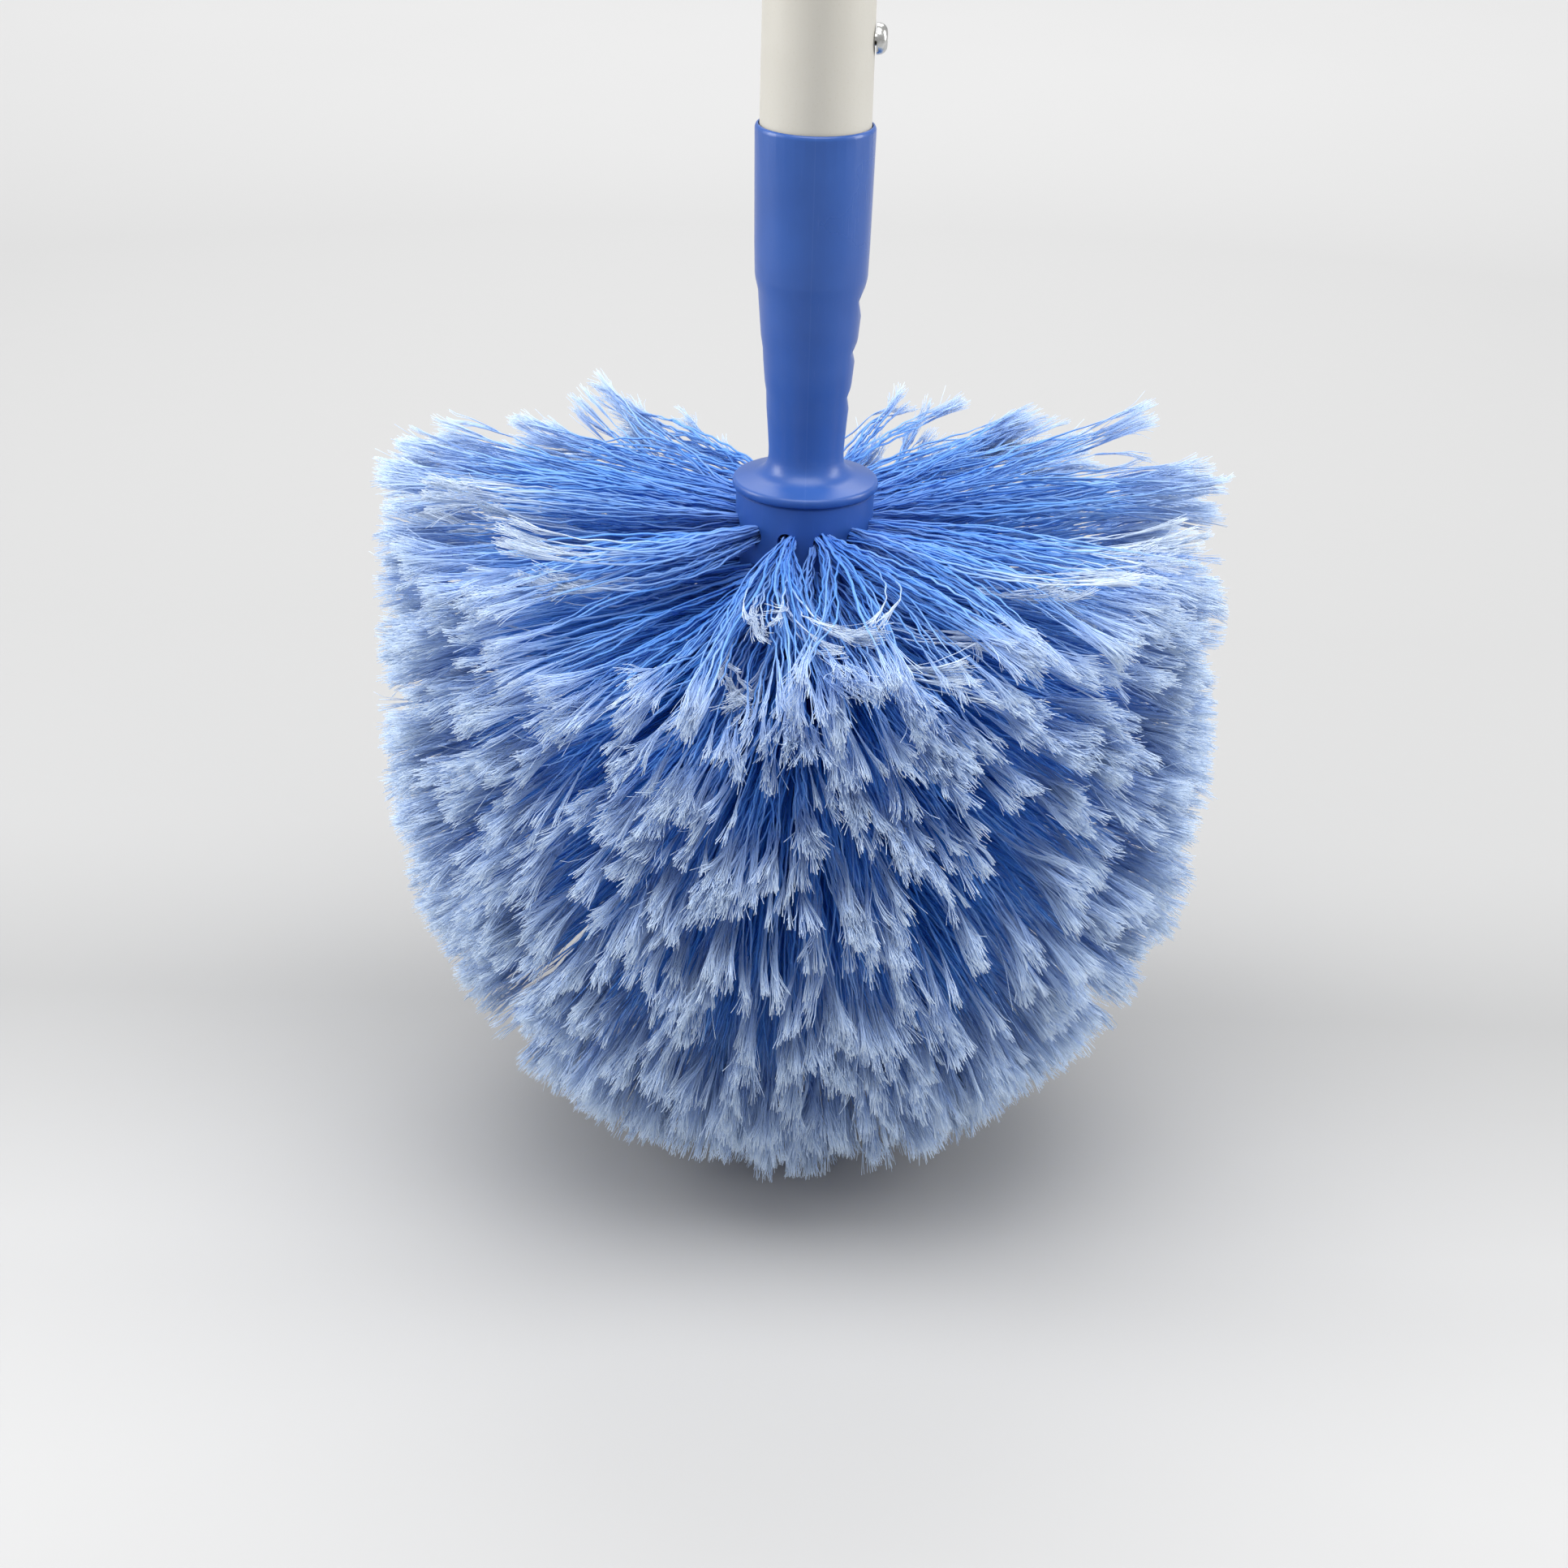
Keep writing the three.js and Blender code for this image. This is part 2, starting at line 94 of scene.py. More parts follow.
# random differences, as standard deviations
CLUMP_SPREAD = 1.5 * MM  # how far a filament's end is from its clump's middle
CLUMP_SHORT = 2.2 * MM  # how much shorter one clump is than another, and one filament than another
STRAND_SHORT = 1.8 * MM
FLARE = 1.5 * MM  # how far a filament's end turns away from its clump
TURN_ERROR = math.radians(1.6)  # how far a tuft points aside of its hole
TOP_WANDER = 2.2  # times that in the top ring, which has no ring above to hold its tufts in place
HEIGHT_ERROR = 1.5 * MM  # how far above or below its place a tuft's middle is, at the tips
TUFT_BOW = 1.0 * MM  # how far a tuft bows on its way, a clump in it, and a filament in that
CLUMP_BOW = 1.8 * MM
STRAND_BOW = 1.3 * MM

FILAMENT_R = 0.28 * MM
SWAY_LENGTH = 38 * MM  # a slow wander from side to side, under the crimp
SWAY = 0.5 * MM
CRIMP_LENGTH = 8 * MM
CRIMP_HEIGHT = 0.23 * MM
SHAFT_STATIONS = (39, 35, 29, 25, 25, 25, 25, 25, 17, 19, 19, 19)  # points along a filament, ring by ring
FLAG_LENGTH = 21 * MM  # length of the split end
FLAG_HAIRS = 12  # hairs that a filament splits into
FLAG_WIDTH = 1.6 * MM
HAIR_R = 0.105 * MM
HAIR_STEPS = np.array([0.0, 0.5, 0.8, 1.0])  # points along a hair, as shares of its length
HAIR_LIMIT = 9600  # hairs in one ring, which keeps its mesh under 200,000 triangles
STRAY_BUNCHES = (3, 2)  # short bunches in each front tuft of the top ring and of the one below it
STRAY_SHARE = 0.85  # the share of a bunch's filaments that curl away with it
STRAY_LENGTH = (0.68, 0.95)  # where a bunch ends, as a share of the full length
STRAY_LIFT = (3, 9)  # how far up its end curls, in mm
STRAY_ASIDE = 15 * MM  # how far aside it curls, at most
SEED = 100  # of the first ring's random numbers; each ring has its own

# how far the top ring's tufts, from the one 15 degrees past +X on, are pushed aside (degrees) and up (mm)
TOP_TUFTS_ASIDE = (5, 5, -12, 17, 5, 7, 2, 2, 1, -1, -2, -6)
TOP_TUFTS_LIFT = (-2, -10, -11, -12, -6, 3, 0, -6, -12, -12, -8, -8)
SETTLED_RINGS = (1.0, 0.55, 0.25)  # the share of it that each of the upper rings follows

# painted light and shade on the floor: its grey by the share of the way from FLOOR_NEAR_Y to FLOOR_FAR_Y,
# darker at the front edge and in a painted shadow band just behind the brush, paler towards the back
FLOOR_NEAR_Y = -0.3
FLOOR_FAR_Y = 1.7
FLOOR_PAINTED_LIGHT_GREYS = (
    (0.0, 0.41),
    (0.06, 0.475),
    (0.12, 0.48),
    (0.18, 0.375),
    (0.235, 0.41),
    (0.32, 0.43),
    (1.0, 0.735),
)

# ---- camera, in the place that the photograph gives it ----

CAMERA_PLACE = Vector((-3, -698, 411.8)) * MM
CAMERA_PITCH = math.radians(24.5)  # down from level
CAMERA_ROLL = math.radians(1.58)
CAMERA_LENS = 72.67  # mm, on a sensor 36 mm wide


# ---- materials ----


class Look:
    """A material with one Principled shader, and short calls for the nodes that feed it."""

    def __init__(self, name, **constants):
        self.material = bpy.data.materials.new(name)
        self.material.use_nodes = True
        self.tree = self.material.node_tree
        self.shader = self.tree.nodes["Principled BSDF"]
        for socket, value in constants.items():
            self.shader.inputs[socket.replace("_", " ")].default_value = value

    def put(self, socket, value):
        """Gives a socket a plain value, or a link when the value is another node's output."""
        if isinstance(value, bpy.types.NodeSocket):
            self.tree.links.new(value, socket)
        else:
            socket.default_value = value

    def node(self, kind, inputs, **settings):
        made = self.tree.nodes.new(kind)
        for key, value in settings.items():
            setattr(made, key, value)
        for key, value in inputs.items():
            self.put(made.inputs[key], value)
        return made

    def feed(self, socket, value):
        self.put(self.shader.inputs[socket], value)

    def place(self):
        """The point in the row frame, with the object at rest."""
        return self.node("ShaderNodeTexCoord", {}).outputs["Object"]

    def stretched(self, x, y, z):
        """The point with each axis scaled, to draw a texture out along one of them."""
        return self.node("ShaderNodeMapping", {"Vector": self.place(), "Scale": (x, y, z)}).outputs[0]

    def noise(self, scale, detail=3.0, vector=None):
        inputs = {"Scale": scale, "Detail": detail, "Vector": vector or self.place()}
        return self.node("ShaderNodeTexNoise", inputs).outputs["Fac"]

    def attribute(self, name):
        return self.node("ShaderNodeAttribute", {}, attribute_name=name).outputs["Fac"]

    def remap(self, value, low, high, to_low, to_high):
        """Maps low..high to to_low..to_high, and holds the ends."""
        inputs = {"Value": value, "From Min": low, "From Max": high, "To Min": to_low, "To Max": to_high}
        return self.node("ShaderNodeMapRange", inputs).outputs["Result"]

    def maths(self, operation, first, second=0.0):
        return self.node("ShaderNodeMath", {0: first, 1: second}, operation=operation).outputs[0]

    def product(self, first, second):
        return self.maths("MULTIPLY", first, second)

    def ramp(self, value, stops):
        """Colour by position: stops are (position, colour)."""
        made = self.node("ShaderNodeValToRGB", {"Fac": value})
        elements = made.color_ramp.elements
        while len(elements) < len(stops):
            elements.new(1.0)
        for element, (position, colour) in zip(elements, stops):
            element.position = position
            element.color = (*colour, 1.0)
        return made.outputs["Color"]

    def mixed(self, share, first, second):
        made = self.node("ShaderNodeMix", {}, data_type="RGBA")
        self.put(made.inputs["Factor"], share)
        for key, colour in (("A", first), ("B", second)):
            value = colour if isinstance(colour, bpy.types.NodeSocket) else (*colour, 1.0)
            socket = [s for s in made.inputs if s.name == key and s.type == "RGBA"][0]
            self.put(socket, value)
        return [s for s in made.outputs if s.type == "RGBA"][0]

    def bump(self, height, distance, strength=1.0, under=None):
        inputs = {"Height": height, "Distance": distance, "Strength": strength}
        if under is not None:
            inputs["Normal"] = under
        return self.node("ShaderNodeBump", inputs).outputs["Normal"]

    def seam(self, width):
        """1 along the mould's parting line, where X is 0, and 0 beside it."""
        across = self.node("ShaderNodeSeparateXYZ", {"Vector": self.place()}).outputs["X"]
        return self.remap(self.maths("ABSOLUTE", across), width * 0.4, width, 1.0, 0.0)


def moulded_plastic(name, colour, deep, roughness, seam_width=0.0):
    """Injection-moulded plastic: cloudy pigment, fine grain, rubbed patches and drawn scratches."""
    look = Look(name, IOR=1.49)
    cloud = look.remap(look.noise(70, 4), 0.35, 0.65, 0.0, 1.0)
    body = look.mixed(cloud, deep, colour)
    scratches = look.noise(260, 2, look.stretched(14, 14, 0.35))
    marks = look.remap(scratches, 0.66, 0.74, 0.0, 1.0)
    body = look.mixed(look.product(marks, 0.025), body, (0.4, 0.5, 0.8))
    if seam_width:
        seam = look.seam(seam_width)
        body = look.mixed(look.product(seam, 0.03), body, (0.3, 0.45, 0.85))
    look.feed("Base Color", body)
    rubbed = look.remap(look.noise(28, 5), 0.35, 0.7, roughness - 0.06, roughness + 0.1)
    look.feed("Roughness", look.maths("ADD", rubbed, look.product(marks, 0.1)))
    normal = look.bump(look.noise(1500, 3), 0.02 * MM, 0.5)
    normal = look.bump(scratches, 0.012 * MM, 0.3, normal)
    if seam_width:
        normal = look.bump(seam, 0.02 * MM, 0.4, normal)
    look.feed("Normal", normal)
    return look.material


def powder_coat(name):
    """Cream powder coat on the tube: orange peel, faint specks and a little yellowing."""
    look = Look(name, IOR=1.5)
    tone = look.remap(look.noise(35, 4), 0.35, 0.65, 0.0, 1.0)
    body = look.mixed(tone, (0.525, 0.505, 0.450), (0.555, 0.535, 0.480))
    speck = look.remap(look.noise(2600, 2), 0.3, 0.4, 1.0, 0.0)
    body = look.mixed(look.product(speck, 0.35), body, (0.48, 0.45, 0.38))
    look.feed("Base Color", body)
    look.feed("Roughness", look.remap(look.noise(60, 4), 0.3, 0.7, 0.46, 0.62))
    normal = look.bump(look.noise(700, 3), 0.03 * MM, 0.6)
    look.feed("Normal", look.bump(look.noise(3200, 2), 0.01 * MM, 0.5, normal))
    return look.material


def bare_metal(name, bright, dull, roughness):
    """Plated or plain metal: small stains, patches that shine less, and fine grain."""
    look = Look(name, Metallic=1.0)
    stain = look.remap(look.noise(900, 5), 0.4, 0.7, 0.0, 1.0)
    look.feed("Base Color", look.mixed(stain, bright, dull))
    look.feed("Roughness", look.remap(look.noise(2200, 4), 0.3, 0.7, roughness, roughness + 0.16))
    look.feed("Normal", look.bump(look.noise(5200, 3), 0.006 * MM, 0.5))
    return look.material


def moulded_rubber(name):
    """Dull black rubber with patches of dust."""
    look = Look(name, IOR=1.5)
    dust = look.remap(look.noise(500, 5), 0.45, 0.75, 0.0, 1.0)
    look.feed("Base Color", look.mixed(dust, (0.024, 0.026, 0.028), (0.075, 0.077, 0.08)))
    look.feed("Roughness", look.remap(look.noise(240, 4), 0.3, 0.7, 0.72, 0.92))
    look.feed("Normal", look.bump(look.noise(2600, 3), 0.02 * MM, 0.6))
    return look.material


# colour by share of the length, root to tip: the darker, deeper blue towards the root is painted shade deep
# in the tufts; the pale end is the split end's own colour
FIBRE_COLOURS = (
    (0.0, (0.005, 0.170, 0.760)),
    (0.45, (0.028, 0.265, 0.840)),
    (0.70, (0.130, 0.380, 0.900)),
    (0.82, (0.360, 0.560, 0.950)),
    (1.0, (0.700, 0.820, 0.985)),
)


def bristle_fibre(name):
    """Blue filament, darker near its root with painted shade, pale at its split end: along is 0 at the root
    and 1 at the tip, strand is random.
    """
    look = Look(name, IOR=1.45, Specular_IOR_Level=0.35)
    along = look.attribute("along")
    strand = look.attribute("strand")
    # painted shade: darker towards the root
    body = look.ramp(along, FIBRE_COLOURS)
    pale = look.product(look.remap(strand, 0.45, 0.95, 0.0, 0.32), look.remap(along, 0.4, 0.9, 0.4, 1.0))
    body = look.mixed(pale, body, (0.66, 0.80, 0.96))
    stray = look.product(look.remap(strand, 0.96, 1.0, 0.0, 0.8), look.remap(along, 0.6, 0.8, 0.0, 1.0))
    body = look.mixed(stray, body, (0.72, 0.81, 0.93))
    height = look.node("ShaderNodeSeparateXYZ", {"Vector": look.place()}).outputs["Z"]
    # greyer and paler shafts near the top of the head, from 130 to 155 mm up, fading out towards the split
    # ends
    top_grey = look.product(look.remap(height, 0.13, 0.155, 0.0, 0.24), look.remap(along, 0.7, 0.85, 1.0, 0.0))
    body = look.mixed(top_grey, body, (0.36, 0.46, 0.56))
    shade = look.remap(strand, 0.0, 0.5, 0.3, 0.0)
    body = look.mixed(shade, body, (0.04, 0.24, 0.80))
    mottle = look.remap(look.noise(900, 3), 0.4, 0.7, 0.0, 0.12)
    body = look.mixed(mottle, body, (0.25, 0.48, 0.90))
    look.feed("Base Color", body)
    look.feed("Roughness", look.remap(along, 0.6, 0.9, 0.42, 0.75))
    look.feed("Normal", look.bump(look.noise(4000, 2), 0.01 * MM, 0.4))
    return look.material


# ---- pieces that keep the CAD's shape ----


def smooth_copy(node, name, material, slot_name, body, crease=32, dissolve=True):
    """A copy of a CAD node with joined vertices and smooth shading, which stands for the faceted node."""
    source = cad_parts[node].data
    made = bmesh.new()
    made.from_mesh(source)
    bmesh.ops.remove_doubles(made, verts=made.verts, dist=0.002 * MM)
    if dissolve:
        bmesh.ops.dissolve_limit(made, angle_limit=math.radians(0.4), verts=made.verts, edges=made.edges)
    mesh = bpy.data.meshes.new(name)
    made.to_mesh(mesh)
    made.free()
    mesh.polygons.foreach_set("use_smooth", [True] * len(mesh.polygons))
    mesh.set_sharp_from_angle(angle=math.radians(crease))
    mesh.materials.append(material)
    return placed(mesh, name, slot_name, body, node)


def round_rim(obj):
    """Rounds the outer edge of the socket's rim, as the mould leaves it."""
    made = bmesh.new()
    made.from_mesh(obj.data)
    for step in range(1, 7):
        height = RIM_Z - RIM_ROUNDING * (1 - math.cos(math.radians(15 * step)))
        parts = made.verts[:] + made.edges[:] + made.faces[:]
        bmesh.ops.bisect_plane(made, geom=parts, dist=SAME_POINT, plane_co=(0, 0, height), plane_no=(0, 0, 1))
    for vertex in made.verts:
        drop = (RIM_Z - vertex.co.z) / RIM_ROUNDING
        radius = math.hypot(vertex.co.x, vertex.co.y)
        if drop < 1 and radius > RIM_R - 0.5 * MM:
            wanted = RIM_R - RIM_ROUNDING * 0.65 * (1 - math.sqrt(max(0.0, 1 - (1 - max(0.0, drop)) ** 2)))
            vertex.co.x *= wanted / radius
            vertex.co.y *= wanted / radius
    made.to_mesh(obj.data)
    made.free()
    obj.data.set_sharp_from_angle(angle=math.radians(32))


def placed(mesh, name, slot_name, body, *nodes):
    """Makes the object of a mesh, parents it to what it rides on, and hides the CAD nodes it stands for."""
    obj = bpy.data.objects.new(name, mesh)
    bpy.context.scene.collection.objects.link(obj)
    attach(obj, body)
    if nodes:
        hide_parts(*nodes)
    return obj


def hard_pieces():
    blue = moulded_plastic("blue_plastic", (0.026, 0.093, 0.350), (0.022, 0.082, 0.318), 0.32, 0.16 * MM)
    # a little darker copy of the blue plastic: painted shade on the block under the flange and among the
    # bristles; its higher roughness is the block's own matt finish
    block_blue_painted_shade = moulded_plastic("blue_plastic_block", (0.024, 0.090, 0.350), (0.020, 0.078, 0.310), 0.4)
    white = moulded_plastic("white_plastic", (0.66, 0.65, 0.60), (0.58, 0.57, 0.52), 0.45)
    cream = powder_coat("cream_powder_coat")
    chrome = bare_metal("screw_chrome", (0.66, 0.66, 0.65), (0.50, 0.50, 0.48), 0.14)
    zinc = bare_metal("screw_zinc", (0.68, 0.69, 0.67), (0.50, 0.50, 0.47), 0.28)
    rubber = moulded_rubber("seal_rubber")
    smooth_copy("pole_tube", "handle_tube", cream, "pole_paint", "pole")
    smooth_copy("threaded_tip", "threaded_tip_moulding", white, "tip_plastic", "pole")
    smooth_copy("pole_end_cap", "hanging_cap", blue, "blue_plastic", "pole")
    smooth_copy("tip_screw", "tip_screw_pan_head", chrome, "screw_chrome", "pole")
    smooth_copy("seal_ring", "flat_seal", rubber, "seal_rubber", "seal")
    round_rim(
        smooth_copy("handle_socket", "handle_socket_moulding", blue, "blue_plastic", "head", dissolve=False)
    )
    placed(tuft_block(block_blue_painted_shade), "tuft_block", "blue_plastic", "head", "core_block")
    smooth_copy("core_screw", "core_screw_pan_head", zinc, "screw_zinc", "head")
    anchor_plates(zinc)


def block_outline():
    """The block's section, as radius and height, from its lowest point up and down the spigot's hole."""
    outline = []
    for step in range(25):
        slope = math.radians(-90 + 90 * step / 24)
        outline.append((BLOCK_R * math.cos(slope), BLOCK_END_Z + BLOCK_R * math.sin(slope)))
    spigot_floor = BLOCK_TOP_Z - SPIGOT_HOLE_DEPTH
    outline += [(BLOCK_R, BLOCK_TOP_Z - BLOCK_EDGE), (BLOCK_R - BLOCK_EDGE, BLOCK_TOP_Z)]
    outline += [(SPIGOT_HOLE_R, BLOCK_TOP_Z), (SPIGOT_HOLE_R, spigot_floor), (SCREW_HOLE_R, spigot_floor)]
    outline += [(SCREW_HOLE_R, spigot_floor - SCREW_HOLE_DEPTH), (0, spigot_floor - SCREW_HOLE_DEPTH)]
    return outline


def turned_block():
    """The block as a fine turned solid, not yet drilled."""
    made = bmesh.new()
    corners = [made.verts.new((radius, 0, z)) for radius, z in block_outline()]
    profile = corners + [made.edges.new(pair) for pair in zip(corners, corners[1:])]
    whole = 2 * math.pi
    bmesh.ops.spin(made, geom=profile, axis=(0, 0, 1), cent=(0, 0, 0), angle=whole, steps=BLOCK_SIDES)
    bmesh.ops.remove_doubles(made, verts=made.verts, dist=SAME_POINT)
    bmesh.ops.dissolve_degenerate(made, edges=made.edges, dist=SAME_POINT)
    bmesh.ops.recalc_face_normals(made, faces=made.faces)
    return stand_in_object("block_before_drilling", made)


def hole_drills():
    """A peg in the place of each tuft's hole, which stands out of the block by 2 mm."""
    made = bmesh.new()
    for ring in ring_list():
        for tuft in range(ring["tufts"]):
            bmesh.ops.create_cone(
                made,
                cap_ends=True,
                segments=20,
                radius1=HOLE_R,
                radius2=HOLE_R,
                depth=HOLE_DEPTH + 2 * MM,
                matrix=hole_place(ring, tuft, BLOCK_R - HOLE_DEPTH / 2 + 1 * MM),
            )
    return stand_in_object("drills", made)


def tuft_block(material):
    """The turned block with round holes for the tufts."""
    block = turned_block()
    drills = hole_drills()
    cut = block.modifiers.new("holes", "BOOLEAN")
    cut.object, cut.operation, cut.solver = drills, "DIFFERENCE", "EXACT"
    mesh = bpy.data.meshes.new_from_object(block.evaluated_get(bpy.context.evaluated_depsgraph_get()))
    for used in (block, drills):
        bpy.data.objects.remove(used)
    mesh.polygons.foreach_set("use_smooth", [True] * len(mesh.polygons))
    mesh.set_sharp_from_angle(angle=math.radians(32))
    mesh.materials.clear()
    mesh.materials.append(material)
    return mesh


def stand_in_object(name, made):
    """An object that only serves to cut the block."""
    mesh = bpy.data.meshes.new(name)
    made.to_mesh(mesh)
    made.free()
    obj = bpy.data.objects.new(name, mesh)
    bpy.context.scene.collection.objects.link(obj)
    return obj


def hole_place(ring, tuft, reach):
    """The place at a distance along a tuft's hole, with Z pointing out of the hole."""
    turn = 2 * math.pi * (tuft + 0.5) / ring["tufts"]
    centre = Matrix.Translation((0, 0, ring["z"]))
    tilt = Matrix.Rotation(math.pi / 2 + ring["slope"], 4, "Y")
    return centre @ Matrix.Rotation(turn, 4, "Z") @ tilt @ Matrix.Translation((0, 0, reach))


def anchor_plates(material):
    """The small metal plates that hold the folded tufts in the bottom of their holes."""
    made = bmesh.new()
    size = Matrix.Diagonal((*PLATE_SIZE, 1))
    for ring in ring_list():
        for tuft in range(ring["tufts"]):
            place = hole_place(ring, tuft, BLOCK_R - PLATE_DEPTH)
            bmesh.ops.create_cube(made, size=1, matrix=place @ size)
    mesh = bpy.data.meshes.new("tuft_anchor_plates")
    made.to_mesh(mesh)
    made.free()
    mesh.materials.append(material)
    placed(mesh, "tuft_anchor_plates", "screw_zinc", "head")


# ---- bristles ----


def ring_list():
    """Each ring of tufts from the top down: its height and slope at the block, and its band at the tips."""
    rings = []
    for i in reversed(range(STRAIGHT_RINGS)):
        height = BLOCK_END_Z + i * RING_PITCH
        rings.append({"z": height, "slope": 0.0, "tufts": WALL_TUFTS, "size": WALL_TUFT_SIZE})
    step = math.pi / 2 / len(DOME_RING_TUFTS)
    for i, tufts in enumerate(DOME_RING_TUFTS):
        rings.append({"z": BLOCK_END_Z, "slope": (i + 1) * step, "tufts": tufts, "size": DOME_TUFT_SIZE})
    total = sum(ring["tufts"] * ring["size"] for ring in rings)
    left = total
    for ring in rings:
        share = ring["tufts"] * ring["size"]
        ring["band"] = TIP_TOP_Z * share / total  # on a dome too, a band's area goes with its height
        ring["tip_z"] = TIP_TOP_Z * (left - share / 2) / total
        left -= share
    rings[-1]["tip_z"] = 0.0
    return rings


def unit(vectors):
    return vectors / np.maximum(np.linalg.norm(vectors, axis=-1, keepdims=True), 1e-12)


def onto_tips(points):
    """Moves points onto the surface that the tips are cut to, a cylinder that ends in half an ellipsoid."""
    flat = np.hypot(points[:, 0], points[:, 1])
    out = points.copy()
    high = points[:, 2] >= TIP_DOME_Z
    out[high, :2] *= (TIP_R / flat[high])[:, None]
    rays = points - np.array([0, 0, TIP_DOME_Z])
    reach = np.sqrt((rays[:, 0] ** 2 + rays[:, 1] ** 2) / TIP_R**2 + rays[:, 2] ** 2 / TIP_DOME_Z**2)
    low = ~high
    out[low] = rays[low] / reach[low, None] + np.array([0, 0, TIP_DOME_Z])
    return out


def tip_radius(z):
    """The radius of that surface at a height."""
    drop = max(0.0, TIP_DOME_Z - z) / TIP_DOME_Z
    return TIP_R * math.sqrt(max(0.0, 1 - drop**2))


def clipped_normal(rng, size, spread, limit=2.1):
    """Normal random numbers that stop at a limit, in standard deviations."""
    return spread * np.clip(rng.standard_normal(size), -limit, limit)


class Filaments:
    """The centre lines of one ring's filaments, as curves that are read at any share of their length."""

    def __init__(self, ring, index, rng):
        tufts, size = ring["tufts"], ring["size"]
        self.count = tufts * size
        self.rng = rng
        self.index = index
        tuft = np.repeat(np.arange(tufts), size)
        clumps = max(1, size // CLUMP_SIZE)
        clump = tuft * clumps + rng.integers(0, clumps, self.count)
        wander = TOP_WANDER if index == 0 else 1.0
        turn = 2 * np.pi * (np.arange(tufts) + 0.5) / tufts
        self.outward = self.directions(turn, ring["slope"])[tuft]
        self.tips(ring, turn, tuft, clump, tufts * clumps, wander)
        self.bends(tuft, clump, tufts, tufts * clumps)

    @staticmethod
    def directions(turn, slope):
        flat = math.cos(slope)
        return np.stack([flat * np.cos(turn), flat * np.sin(turn), np.full_like(turn, -math.sin(slope))], 1)

    def roots(self, ring, turn, across, along):
        """Where the filaments start, packed in the hole on the side that they fan out to."""
        self.sideways = np.stack([-np.sin(turn), np.cos(turn), np.zeros_like(turn)], 1)
        downward = np.cross(self.sideways, self.outward)
        spot = np.stack([across, along], 1) / 1.6 + 0.3 * self.rng.standard_normal((self.count, 2))
        if self.index == 0:
            spot[:, 1] -= 0.45  # these holes are in sight, and their upper side has to be full
        spot = spot / np.maximum(1, np.linalg.norm(spot, axis=1, keepdims=True))
        self.root = self.outward * (BLOCK_R - ROOT_DEPTH) + np.array([0, 0, ring["z"]])
        self.root = self.root + ROOT_PACK_R * (self.sideways * spot[:, :1] + downward * spot[:, 1:])

    def aims(self, ring, turn, wander):
        """The middle of each tuft's tips, and the directions around the head and down it there."""
        aside, lift = self.settled(turn)
        aimed = turn + aside + clipped_normal(self.rng, turn.size, TURN_ERROR * wander)
        height = ring["tip_z"] + lift + clipped_normal(self.rng, turn.size, HEIGHT_ERROR)
        radius = np.array([tip_radius(z) for z in height])
        middle = np.stack([radius * np.cos(aimed), radius * np.sin(aimed), height], 1)
        around = np.stack([-np.sin(aimed), np.cos(aimed), np.zeros_like(aimed)], 1)
        centre = np.zeros_like(middle)
        centre[:, 2] = np.maximum(height, TIP_DOME_Z)
        return middle, around, np.cross(around, unit(middle - centre))

    def spreads(self, ring):
        """How far a tuft's clumps spread at the tips, around the head and down it."""
        if ring["tufts"] < 6:  # near the dome's lowest point they spread nearly alike both ways
            return TUFT_SPREAD * 1.1, TUFT_SPREAD
        if self.index == 0:
            return TUFT_SPREAD, TOP_SPREAD
        return TUFT_SPREAD, max(ring["band"], LEAST_BAND) * BAND_SPREAD

    def tips(self, ring, turn, tuft, clump, clumps, wander):
        """Where the filaments end: near their tuft's middle, in clumps, on the surface they are cut to."""
        rng = self.rng
        middle, around, down = (of_tufts[tuft] for of_tufts in self.aims(ring, turn, wander))
        wide, tall = self.spreads(ring)
        across = clipped_normal(rng, clumps, 1.0)[clump]
        along = clipped_normal(rng, clumps, 1.0)[clump]
        self.roots(ring, turn[tuft], across, along)
        across = across * wide + clipped_normal(rng, self.count, CLUMP_SPREAD)
        along = along * tall + clipped_normal(rng, self.count, CLUMP_SPREAD)
        self.fan = around * across[:, None]
        flare = clipped_normal(rng, (self.count, 2), FLARE)
        self.flare = around * flare[:, :1] + down * flare[:, 1:]
        end = onto_tips(middle + self.fan + down * along[:, None] + self.flare)
        end = end + unit(end - self.root) * TIP_REACH
        end[:, 2] = np.maximum(end[:, 2], FLOOR_GAP)
        short = np.abs(clipped_normal(rng, clumps, CLUMP_SHORT))[clump]
        short = short + np.abs(clipped_normal(rng, self.count, STRAND_SHORT))
        self.tip = end - unit(end - self.root) * short[:, None] - self.flare
        self.stray = np.zeros(self.count, bool)
        self.swing = np.zeros(self.count)
        if self.index < len(STRAY_BUNCHES):
            self.strays(clump, clumps)
        self.length = np.linalg.norm(self.tip - self.root, axis=1)

    def settled(self, turn):
        """How far each tuft of the upper rings has been pushed aside and up in use."""
        if self.index >= len(SETTLED_RINGS):
            return np.zeros_like(turn), np.zeros_like(turn)
        share = SETTLED_RINGS[self.index]
        return np.radians(TOP_TUFTS_ASIDE) * share, np.array(TOP_TUFTS_LIFT) * MM * share

    def strays(self, clump, clumps):
        """A few small bunches in the front tufts, which end short of the others and curl up and aside."""
        rng = self.rng
        in_tuft = clumps // WALL_TUFTS
